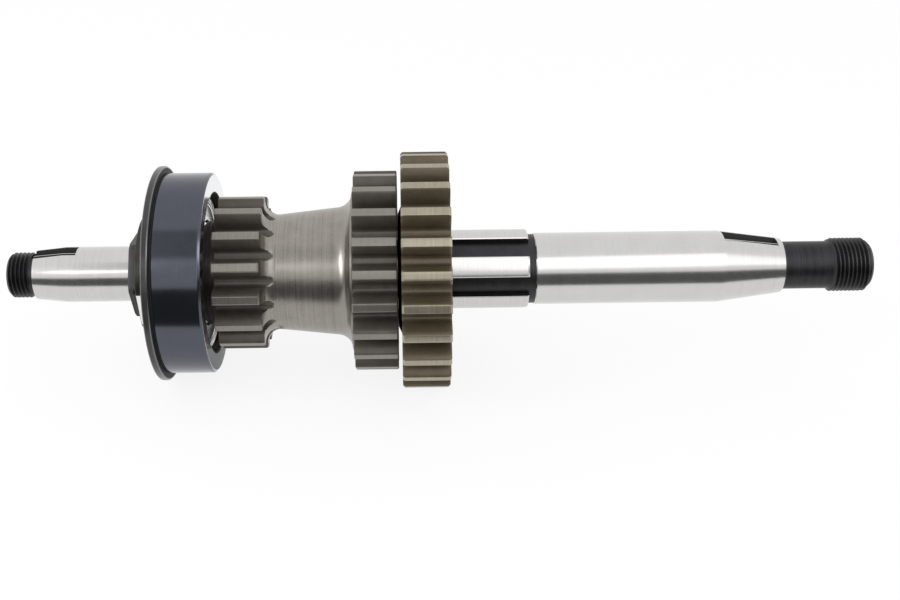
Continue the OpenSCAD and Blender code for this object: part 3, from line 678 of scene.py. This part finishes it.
def make_shaft():
    columns = shaft_columns()
    count = len(columns)
    rows, kinds, seams = [], [], []

    def plain(x, r, kind):
        rows.append([(x, r, a) for a, _ in columns])
        kinds.append(kind)

    def splined(x, limit, kind):
        rows.append([(x, min(limit, spline_radius(a, k)), a) for a, k in columns])
        kinds.append(kind)

    def keyed(x, r, floor, kind):
        """A row through a keyway with its floor at that height."""
        out = []
        for angle, column in columns:
            if column == "slot":
                y = KEY_HALF * (KEY_MIDDLE - angle) / KEY_SPREAD
                out.append((x, math.hypot(y, floor), math.degrees(math.atan2(floor, y))))
            elif column == "brink":
                y = KEY_HALF if angle < KEY_MIDDLE else -KEY_HALF
                out.append((x, r, math.degrees(math.acos(y / r))))
            else:
                out.append((x, r, angle))
        rows.append(out)
        kinds.append(kind)

    def thread(x0, x1, r, start_r, end_r, start_length, end_length):
        """A V thread from x0 to x1, whose first and last rows are plain circles."""
        first = len(rows)
        total = math.ceil((x1 - x0 + PITCH) / PITCH * THREAD_STEPS)
        for i in range(total + 1):
            off_crest = abs(i / THREAD_STEPS % 1 - 0.5) * 2
            wave = min(1, max(0, (off_crest - THREAD_FLAT) / (1 - 2 * THREAD_FLAT)))
            cut_r = r - THREAD_DEPTH * (1 - wave)
            row = []
            for angle, _ in columns:
                x = x0 - PITCH + i * PITCH / THREAD_STEPS + PITCH * angle / 360
                x = min(x1, max(x0, x))
                at = min(cut_r, start_r + (r - start_r) * (x - x0) / start_length)
                to_end = min(1, max(0, 1 - (x1 - x) / end_length))
                row.append((x, at + (end_r - at) * to_end, angle))
            rows.append(row)
            kinds.append("thread")
        seams.append((first, len(rows) - 1, THREAD_STEPS))

    # Kick end: chamfered bore, thread, tapered seat with its keyway, journal, nut's thread, seat
    plain(shaft_x0 + BORE_CHAMFER, BORE_R, "bore")
    plain(shaft_x0, BORE_R + BORE_CHAMFER, "bore")
    key0, key1, floor = KICK_KEY
    undercut_r = KICK_THREAD_R - 0.5
    thread(shaft_x0, key0 - 0.15, KICK_THREAD_R, KICK_THREAD_R - 1.1, undercut_r, 1.1, 0.5)
    plain(key0, undercut_r, "thread")
    keyed(key0, undercut_r, floor, "key_thread")
    keyed(kick_thread_end, undercut_r, floor, "key_thread")
    keyed(kick_thread_end, KICK_TAPER_R - 0.25, floor, "key")
    keyed(kick_thread_end + 0.25, KICK_TAPER_R, floor, "key")
    keyed(kick_taper_end, KICK_R, floor, "key")
    keyed(key1, KICK_R, floor, "key")
    plain(key1, KICK_R, "ground")
    plain(nut_x - 0.2, KICK_R, "ground")
    plain(nut_x, KICK_R - 0.2, "oxide")
    plain(nut_x, NUT_THREAD_R - 0.4, "oxide")
    plain(nut_x + 0.4, NUT_THREAD_R, "oxide")
    plain(spacer_x, NUT_THREAD_R, "oxide")
    plain(spacer_x, SEAT_R, "ground")
    plain(first_x, SEAT_R, "ground")

    # Under the gears, and the splines with the groove of the retaining ring
    plain(first_x, SPLINE_R, "oxide")
    plain(second_end - COLLAR_DEPTH, SPLINE_R, "oxide")
    plain(second_end - COLLAR_DEPTH, COLLAR_R, "oxide")
    plain(second_end, COLLAR_R, "oxide")
    splined(second_end, SPLINE_R, "spline")
    splined(ring_x, SPLINE_R, "spline")
    splined(ring_x, RING_GROOVE_R, "groove")
    splined(ring_x + RING_GROOVE_WIDTH, RING_GROOVE_R, "groove")
    splined(ring_x + RING_GROOVE_WIDTH, SPLINE_R, "spline")
    splined(spline_end - SPLINE_END_EDGE, SPLINE_R, "spline")
    splined(spline_end, SPLINE_R - SPLINE_END_EDGE, "spline")
    plain(spline_end, RELIEF_R, "groove")
    plain(plain_x, RELIEF_R, "groove")

    # Clutch end: plain part, tapered seat with its keyway, neck and thread
    plain(plain_x, PLAIN_R - 0.3, "ground")
    plain(plain_x + 0.3, PLAIN_R, "ground")
    plain(taper_x, PLAIN_R, "ground")
    slope = (TAPER_R - PLAIN_R) / (neck_x - taper_x)
    key0, key1, floor = CLUTCH_KEY
    plain(key0, PLAIN_R + slope * (key0 - taper_x), "ground")
    keyed(key0, PLAIN_R + slope * (key0 - taper_x), floor, "key")
    keyed(key1, PLAIN_R + slope * (key1 - taper_x), floor, "key")
    plain(key1, PLAIN_R + slope * (key1 - taper_x), "ground")
    plain(neck_x - 0.2, TAPER_R + 0.03, "ground")
    plain(neck_x, TAPER_R - 0.2, "neck")
    plain(neck_x, NECK_R + 0.35, "neck")
    plain(neck_x + 0.35, NECK_R, "neck")
    thread(thread_x, shaft_x1, THREAD_R, NECK_R, THREAD_R - 1.9, 0.8, 1.9)
    plain(shaft_x1, BORE_R + BORE_CHAMFER, "bore")
    plain(shaft_x1 - BORE_CHAMFER, BORE_R, "bore")

    def pick(i, j):
        kind, k = kinds[i], (j + 1) % count
        if kind in ("thread", "bore", "oxide", "groove"):
            return 1
        if kind == "neck":
            return 2
        if kind in ("key", "key_thread"):
            # The keyway's faces take the near-black painted shade of a recess
            if "slot" in (columns[j][1], columns[k][1]):
                return 3
            return 1 if kind == "key_thread" else 0
        if kind == "spline":
            middle = (rows[i][j][1] + rows[i][k][1]) / 2
            return 0 if middle > SPLINE_R - 0.65 else 1
        return 0

    made = skin("mainshaft_dressed", rows, [GROUND, OXIDE, NECK, PAINTED_SHADE], pick, seams)
    dress(made, "shaft", "ground_steel", "mainshaft")


# Bearing housing and turned rings

FLANGE_R, HOUSING_R, GROOVE_R, LIP_R, HOUSING_BORE_R = 37.5, 35.0, 34.3, 28.0, 31.02
FLANGE_WIDTH, GROOVE_WIDTH, GROOVE_SHADE_R = 2.3, 0.8, 36.9
WASHER_R, SPACER_R, RING_BORE_R, CHAMFER = 18.1, 15.5, SEAT_R + FIT, 0.4
groove_x = housing_x + FLANGE_WIDTH


def housing_zone(x, r):
    """The material of the housing's faces: 0 is its blued cylinder, with its right edge, and 2 is
    painted shade in its groove and bore.
    """
    if x > housing_end - 0.05 and r > LIP_R + CHAMFER:
        return 1
    # Painted shade: the groove behind the flange and the bore inside take the near-black material
    in_groove = groove_x - 0.1 < x < groove_x + GROOVE_WIDTH + 0.1 and r < GROOVE_SHADE_R
    if in_groove or r < HOUSING_BORE_R + 0.18:
        return 2
    if x > groove_x + 0.1:
        return 0
    return 4 if FLANGE_R - 0.5 < r < FLANGE_R - 0.05 else 3


def make_housing():
    groove_end, lip_x = groove_x + GROOVE_WIDTH, washer_x + FIT
    outline = [
        (housing_x, HOUSING_BORE_R + 0.38), (housing_x, FLANGE_R - CHAMFER),
        (housing_x + CHAMFER, FLANGE_R), (groove_x - CHAMFER, FLANGE_R),
        (groove_x, FLANGE_R - CHAMFER), (groove_x, GROOVE_R), (groove_end, GROOVE_R),
        (groove_end, HOUSING_R), (housing_end - 2 * CHAMFER, HOUSING_R),
        (housing_end, HOUSING_R - 2 * CHAMFER), (housing_end, LIP_R + CHAMFER),
        (housing_end - CHAMFER, LIP_R), (lip_x, LIP_R), (lip_x, HOUSING_BORE_R),
        (housing_x + CHAMFER, HOUSING_BORE_R),
    ]
    made = turned("bearing_housing_dressed", outline, BLUED, 0.15,
                  other=[RIM, PAINTED_SHADE, FLANGE, EDGE], choose=housing_zone)
    dress(made, "housing", "blued_steel", "bearing_housing")


def make_washer():
    """The distance washer, with a small groove round it."""
    groove, low_r = washer_x + 2.0, WASHER_R - 0.2
    outline = [
        (washer_x, RING_BORE_R), (washer_x, WASHER_R - CHAMFER), (washer_x + CHAMFER, WASHER_R),
        (groove - 0.1, WASHER_R), (groove, low_r), (groove + 0.2, low_r), (groove + 0.3, WASHER_R),
        (first_x - CHAMFER, WASHER_R), (first_x, WASHER_R - CHAMFER), (first_x, RING_BORE_R),
    ]
    made = turned("bearing_washer_dressed", outline, WASHER, 0.12)
    dress(made, "shaft", "dark_steel", "bearing_washer")


def make_spacer():
    outline = [
        (spacer_x, RING_BORE_R), (spacer_x, SPACER_R - CHAMFER), (spacer_x + CHAMFER, SPACER_R),
        (-washer_x - CHAMFER, SPACER_R), (-washer_x, SPACER_R - CHAMFER), (-washer_x, RING_BORE_R),
    ]
    made = turned("bearing_spacer_dressed", outline, WASHER, 0.12)
    dress(made, "shaft", "dark_steel", "bearing_spacer")


def make_shields():
    """The two shields, with a pressed step at each edge and painted shade on their inner edge."""
    thick, dip, bend, inner_r, outer_r = 0.5, 0.15, 0.3, 18.4, 26.15
    step_in, step_out, lap = 20.0, 24.3, 25.2
    for side, name in ((-1, "left"), (1, "right")):
        outer = side * (washer_x - 0.4)
        inner = outer - side * thick
        low, back = outer - side * dip, inner - side * 0.1
        outline = [
            (outer, inner_r), (outer, step_in), (low, step_in + bend), (low, step_out - bend),
            (outer, step_out), (outer, lap - 0.2), (outer - side * 0.2, lap), (outer, lap + 0.2),
            (outer, outer_r), (inner, outer_r), (inner, step_out), (back, step_out - bend),
            (back, step_in + bend), (inner, step_in), (inner, inner_r),
        ]
        # Painted shade on the inner edge, where the gap to the inner ring lies
        made = turned(f"bearing_shield_{name}_dressed", outline, SHIELD, 0.1, other=[PAINTED_SHADE],
                      choose=lambda x, r: 1 if r < inner_r + 0.4 else 0)
        dress(made, "housing", "shield_steel", f"bearing_shield_{name}")


def make_thrust_washer():
    x0, x1 = span("third_gear_thrust_washer")
    inner_r, outer_r = SPLINE_R + FIT, 18.2
    outline = [(x0, inner_r), (x0, outer_r), (x1, outer_r), (x1, inner_r)]
    made = turned("third_gear_thrust_washer_dressed", outline, WASHER, 0.25)
    dress(made, "shaft", "dark_steel", "third_gear_thrust_washer")


# Nut and lock washer

NUT_HALF, NUT_BORE_R, NUT_COUNT = 13.1, NUT_THREAD_R + FIT, 168


def make_nut():
    """The hexagon nut, chamfered at its left face."""
    chamfer, soft, bevel = math.radians(30), 0.12, 0.5
    face_r = NUT_HALF / math.cos(chamfer) - 0.8
    angles = [NUT_TURN + a for a in even_angles(NUT_COUNT)]

    def hexagon(a):
        off = (a - NUT_TURN + 30) % 60 - 30
        return NUT_HALF / math.cos(math.radians(off))

    def start(a):
        """Where the chamfer meets the side of the hexagon."""
        return nut_x + max(0.05, (hexagon(a) - face_r) * math.tan(chamfer))

    rows = [
        ring_row(nut_x + bevel, NUT_BORE_R, angles),
        ring_row(nut_x, NUT_BORE_R + bevel, angles),
        [(nut_x, min(face_r, hexagon(a)) - soft, a) for a in angles],
        [(start(a), hexagon(a) - 0.05, a) for a in angles],
        [(start(a) + soft, hexagon(a), a) for a in angles],
        [(lock_x - soft, hexagon(a), a) for a in angles],
        [(lock_x, hexagon(a) - 0.1, a) for a in angles],
        ring_row(lock_x, NUT_BORE_R, angles),
    ]
    made = skin("bearing_nut_dressed", rows, [OXIDE])
    dress(made, "shaft", "black_oxide", "bearing_nut")


def make_lock_ring():
    """The lock washer's ring, dished to the right, with a bright flat on the photograph's side."""
    angles = even_angles(TURNED_COUNT)
    flat_at, flat_half, rim_r, rim_width = 193.0, 19.5, 20.3, 1.75

    def rim(a, cut=0.0):
        off = angle_off(a, flat_at)
        if off >= flat_half:
            return rim_r - cut
        return rim_r * math.cos(math.radians(flat_half)) / math.cos(math.radians(off)) - cut

    rows = [
        ring_row(lock_x, NUT_BORE_R, angles),
        [(lock_x, rim(a, 0.2), a) for a in angles],
        [(lock_x + 0.2, rim(a), a) for a in angles],
        [(lock_x + rim_width - 0.15, rim(a), a) for a in angles],
        [(lock_x + rim_width, rim(a, 0.15), a) for a in angles],
        ring_row(lock_x + rim_width, 18.0, angles),
        ring_row(spacer_x, 17.2, angles),
        ring_row(spacer_x, NUT_BORE_R, angles),
    ]

    def pick(i, j):
        middle = angles[j] + 180 / len(angles)
        return 1 if i == 2 and angle_off(middle, flat_at) < flat_half else 0

    return skin("lock_washer_ring", rows, [WASHER, TAB], pick)


def make_lock_tab():
    """The tab is bent up out of the washer and lies on a flat of the nut."""
    inner, thick, half, reach, bend = NUT_HALF + FIT, 1.0, 6.0, 2.3, 0.55
    end = lock_x - reach
    section = [
        (lock_x + 0.5, inner + bend + thick), (lock_x + 0.5, inner), (end + 0.2, inner),
        (end, inner + 0.2), (end, inner + thick - 0.25), (end + 0.25, inner + thick),
    ]
    for step in range(6):
        a = math.radians(18 * step)
        x = lock_x - bend + bend * math.sin(a)
        section.append((x, inner + thick + bend * (1 - math.cos(a))))

    # Across the tab, and how much shorter it is there, so that its corners are rounded
    stations = [(-half, 0.9), (0.25 - half, 0.25), (1.0 - half, 0.0)]
    stations += [(-w, short) for w, short in reversed(stations)]
    c, s = math.cos(math.radians(NUT_TURN)), math.sin(math.radians(NUT_TURN))
    points = [
        (max(x, end + short), y * c - w * s, y * s + w * c)
        for w, short in stations for x, y in section
    ]
    n = len(section)
    last = (len(stations) - 1) * n
    faces = [tuple(range(n)), tuple(reversed(range(last, last + n)))]
    for k in range(0, last, n):
        for i in range(n):
            a, b = k + i, k + (i + 1) % n
            faces.append((a, a + n, b + n, b))
    return piece("lock_washer_tab", points, faces, [OXIDE], [0] * len(faces))


def make_lock_washer():
    """The tab stands for the CAD node, and the ring rides with it."""
    ring = make_lock_ring()
    tab = make_lock_tab()
    for made in (ring, tab):
        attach(made, "shaft")
    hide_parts("lock_washer")


# CAD nodes that keep their shape, and only get a material; so do the balls
KEPT = {
    "third_gear_bushing": BRONZE, "third_gear_retaining_ring": OXIDE,
    "bearing_outer_ring": BEARING, "bearing_inner_ring": BEARING,
    "bearing_cage_left": PRESSED, "bearing_cage_right": PRESSED, "cage_rivets": PRESSED,
}


def paint_kept():
    for name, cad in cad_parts.items():
        material = BEARING if name.startswith("bearing_ball") else KEPT.get(name)
        if material:
            cad.data.materials.clear()
            cad.data.materials.append(material)


# Floor, light and camera

CAMERA_ELEVATION, CAMERA_DISTANCE, CAMERA_X = 27.5, 413.0, 76.75
FOCAL_PX, IMAGE_WIDTH, IMAGE_HEIGHT, SENSOR = 1175.0, 900.0, 600.0, 36.0
AXIS_PX = (405.0, 270.0)
ROLL = -0.75
FLOOR_HALF, FLOOR_GAP, FLOOR_GLOW, PAPER, SKY = 6.0, 0.02, 0.86, 0.94, 0.9

# Lamps as (name, place, target, size, power), in metres and watts
LAMPS = (
    ("key", (0.45, -0.75, 0.75), (0.09, 0, 0), (0.85, 0.75), 1.5),
    ("strip", (-0.41, -0.88, 0.66), (-0.08, 0, 0), (0.27, 0.2), 0.3),
    ("left", (-0.75, -0.42, 0.40), (0.05, 0, 0), (0.34, 0.45), 3.0),
    ("right", (1.05, 0.0, 0.27), (0.02, 0, 0), (0.22, 0.26), 0.6),
)

# Cards as (name, four corners in metres, shade)
CARDS = (
    ("dark_front", [(-0.9, -0.082, -0.0405), (1.1, -0.082, -0.0405),
                    (1.1, -0.2, 0.041), (-0.9, -0.2, 0.041)], 0.11),
    ("grey_front", [(-0.25, -0.74, 0.7), (0.02, -0.74, 0.7),
                    (0.02, -0.26, 1.0), (-0.25, -0.26, 1.0)], 0.5),
    ("shade_below", [(0.0115, -0.005, -0.0381), (0.03, -0.005, -0.0381),
                     (0.03, 0.045, -0.0381), (0.0115, 0.045, -0.0381)], 0.2),
)


def looked_at(tree):
    """1 for rays from the camera, a mirror or glass, and 0 for those that light the object."""
    path = node(tree, "ShaderNodeLightPath").outputs
    seen = math_node(tree, "MAXIMUM", path["Is Camera Ray"], path["Is Glossy Ray"])
    return math_node(tree, "MAXIMUM", seen, path["Is Transmission Ray"])


def flat_mesh(name, corners):
    mesh = bpy.data.meshes.new(name)
    mesh.from_pydata(corners, [], [(0, 1, 2, 3)])
    made = bpy.data.objects.new(name, mesh)
    bpy.context.scene.collection.objects.link(made)
    return made


def make_floor():
    """A white floor that the housing's flange and the third gear's teeth lie on."""
    flange_rest = (housing_x + CHAMFER, -FLANGE_R)
    gear_rest = (third_x + 0.7, -41.23)
    slope = math.atan2(gear_rest[1] - flange_rest[1], gear_rest[0] - flange_rest[0])
    sides = ((-1, -1), (1, -1), (1, 1), (-1, 1))
    floor = flat_mesh("floor", [(x * FLOOR_HALF, y * FLOOR_HALF, 0) for x, y in sides])
    floor.location = (flange_rest[0] * MM, 0, (flange_rest[1] - FLOOR_GAP) * MM)
    floor.rotation_euler = (0, -slope, 0)
    made, tree = blank_material("floor_paper")
    glow = math_node(tree, "MULTIPLY", looked_at(tree), FLOOR_GLOW)
    paper = node(tree, "ShaderNodeBsdfDiffuse", {"Color": (PAPER, PAPER, PAPER, 1)}).outputs[0]
    white = node(tree, "ShaderNodeEmission", {"Color": (1, 1, 1, 1), "Strength": 1.0}).outputs[0]
    both = node(tree, "ShaderNodeMixShader", {"Fac": glow, 1: paper, 2: white}).outputs[0]
    node(tree, "ShaderNodeOutputMaterial", {"Surface": both})
    floor.data.materials.append(made)


def make_world():
    world = bpy.data.worlds.new("studio")
    bpy.context.scene.world = world
    world.use_nodes = True
    tree = world.node_tree
    tree.nodes.clear()
    level = {"Value": looked_at(tree), "To Min": SKY, "To Max": 1.0}
    level = node(tree, "ShaderNodeMapRange", level).outputs["Result"]
    light = node(tree, "ShaderNodeBackground", {"Color": (1, 1, 1, 1), "Strength": level})
    node(tree, "ShaderNodeOutputWorld", {"Surface": light.outputs[0]})


def make_lamp(name, place, target, size, power):
    lamp = bpy.data.lights.new(name, "AREA")
    lamp.shape, lamp.size, lamp.size_y, lamp.energy = "RECTANGLE", size[0], size[1], power
    made = bpy.data.objects.new(name, lamp)
    made.location = place
    made.rotation_euler = (Vector(target) - Vector(place)).to_track_quat("-Z", "Y").to_euler()
    bpy.context.scene.collection.objects.link(made)


def make_camera():
    """A camera at the photograph's angle, with the shaft's axis at its place in the picture."""
    data = bpy.data.cameras.new("camera")
    data.sensor_width = SENSOR
    data.lens = SENSOR * FOCAL_PX / IMAGE_WIDTH
    data.shift_x = (IMAGE_WIDTH / 2 - AXIS_PX[0]) / IMAGE_WIDTH
    data.shift_y = -(IMAGE_HEIGHT / 2 - AXIS_PX[1]) / IMAGE_WIDTH
    data.clip_start, data.clip_end = 0.01, 20
    camera = bpy.data.objects.new("camera", data)
    e = math.radians(CAMERA_ELEVATION)
    back = Vector((0, -math.cos(e), math.sin(e)))
    right = Vector((1, 0, 0))
    up = back.cross(right)
    turn = Matrix((right, up, back)).transposed().to_4x4()
    turn = turn @ Matrix.Rotation(math.radians(ROLL), 4, "Z")
    place = Vector((CAMERA_X * MM, 0, 0)) + back * CAMERA_DISTANCE * MM
    camera.matrix_world = Matrix.Translation(place) @ turn
    bpy.context.scene.collection.objects.link(camera)
    bpy.context.scene.camera = camera


def make_card(name, corners, shade):
    """A card round the shaft, seen only in the metal's reflections."""
    card = flat_mesh(name, corners)
    made, tree = blank_material(name)
    glow = node(tree, "ShaderNodeEmission", {"Color": (1, 1, 1, 1), "Strength": shade}).outputs[0]
    node(tree, "ShaderNodeOutputMaterial", {"Surface": glow})
    card.data.materials.append(made)
    card.visible_camera = card.visible_diffuse = False
    card.visible_shadow = card.visible_transmission = False


make_cluster()
make_third()
make_shaft()
make_housing()
make_washer()
make_spacer()
make_shields()
make_thrust_washer()
make_nut()
make_lock_washer()
paint_kept()

make_floor()
make_world()
for lamp_row in LAMPS:
    make_lamp(*lamp_row)
make_camera()
for card_row in CARDS:
    make_card(*card_row)
bpy.context.scene.view_settings.view_transform = "Standard"
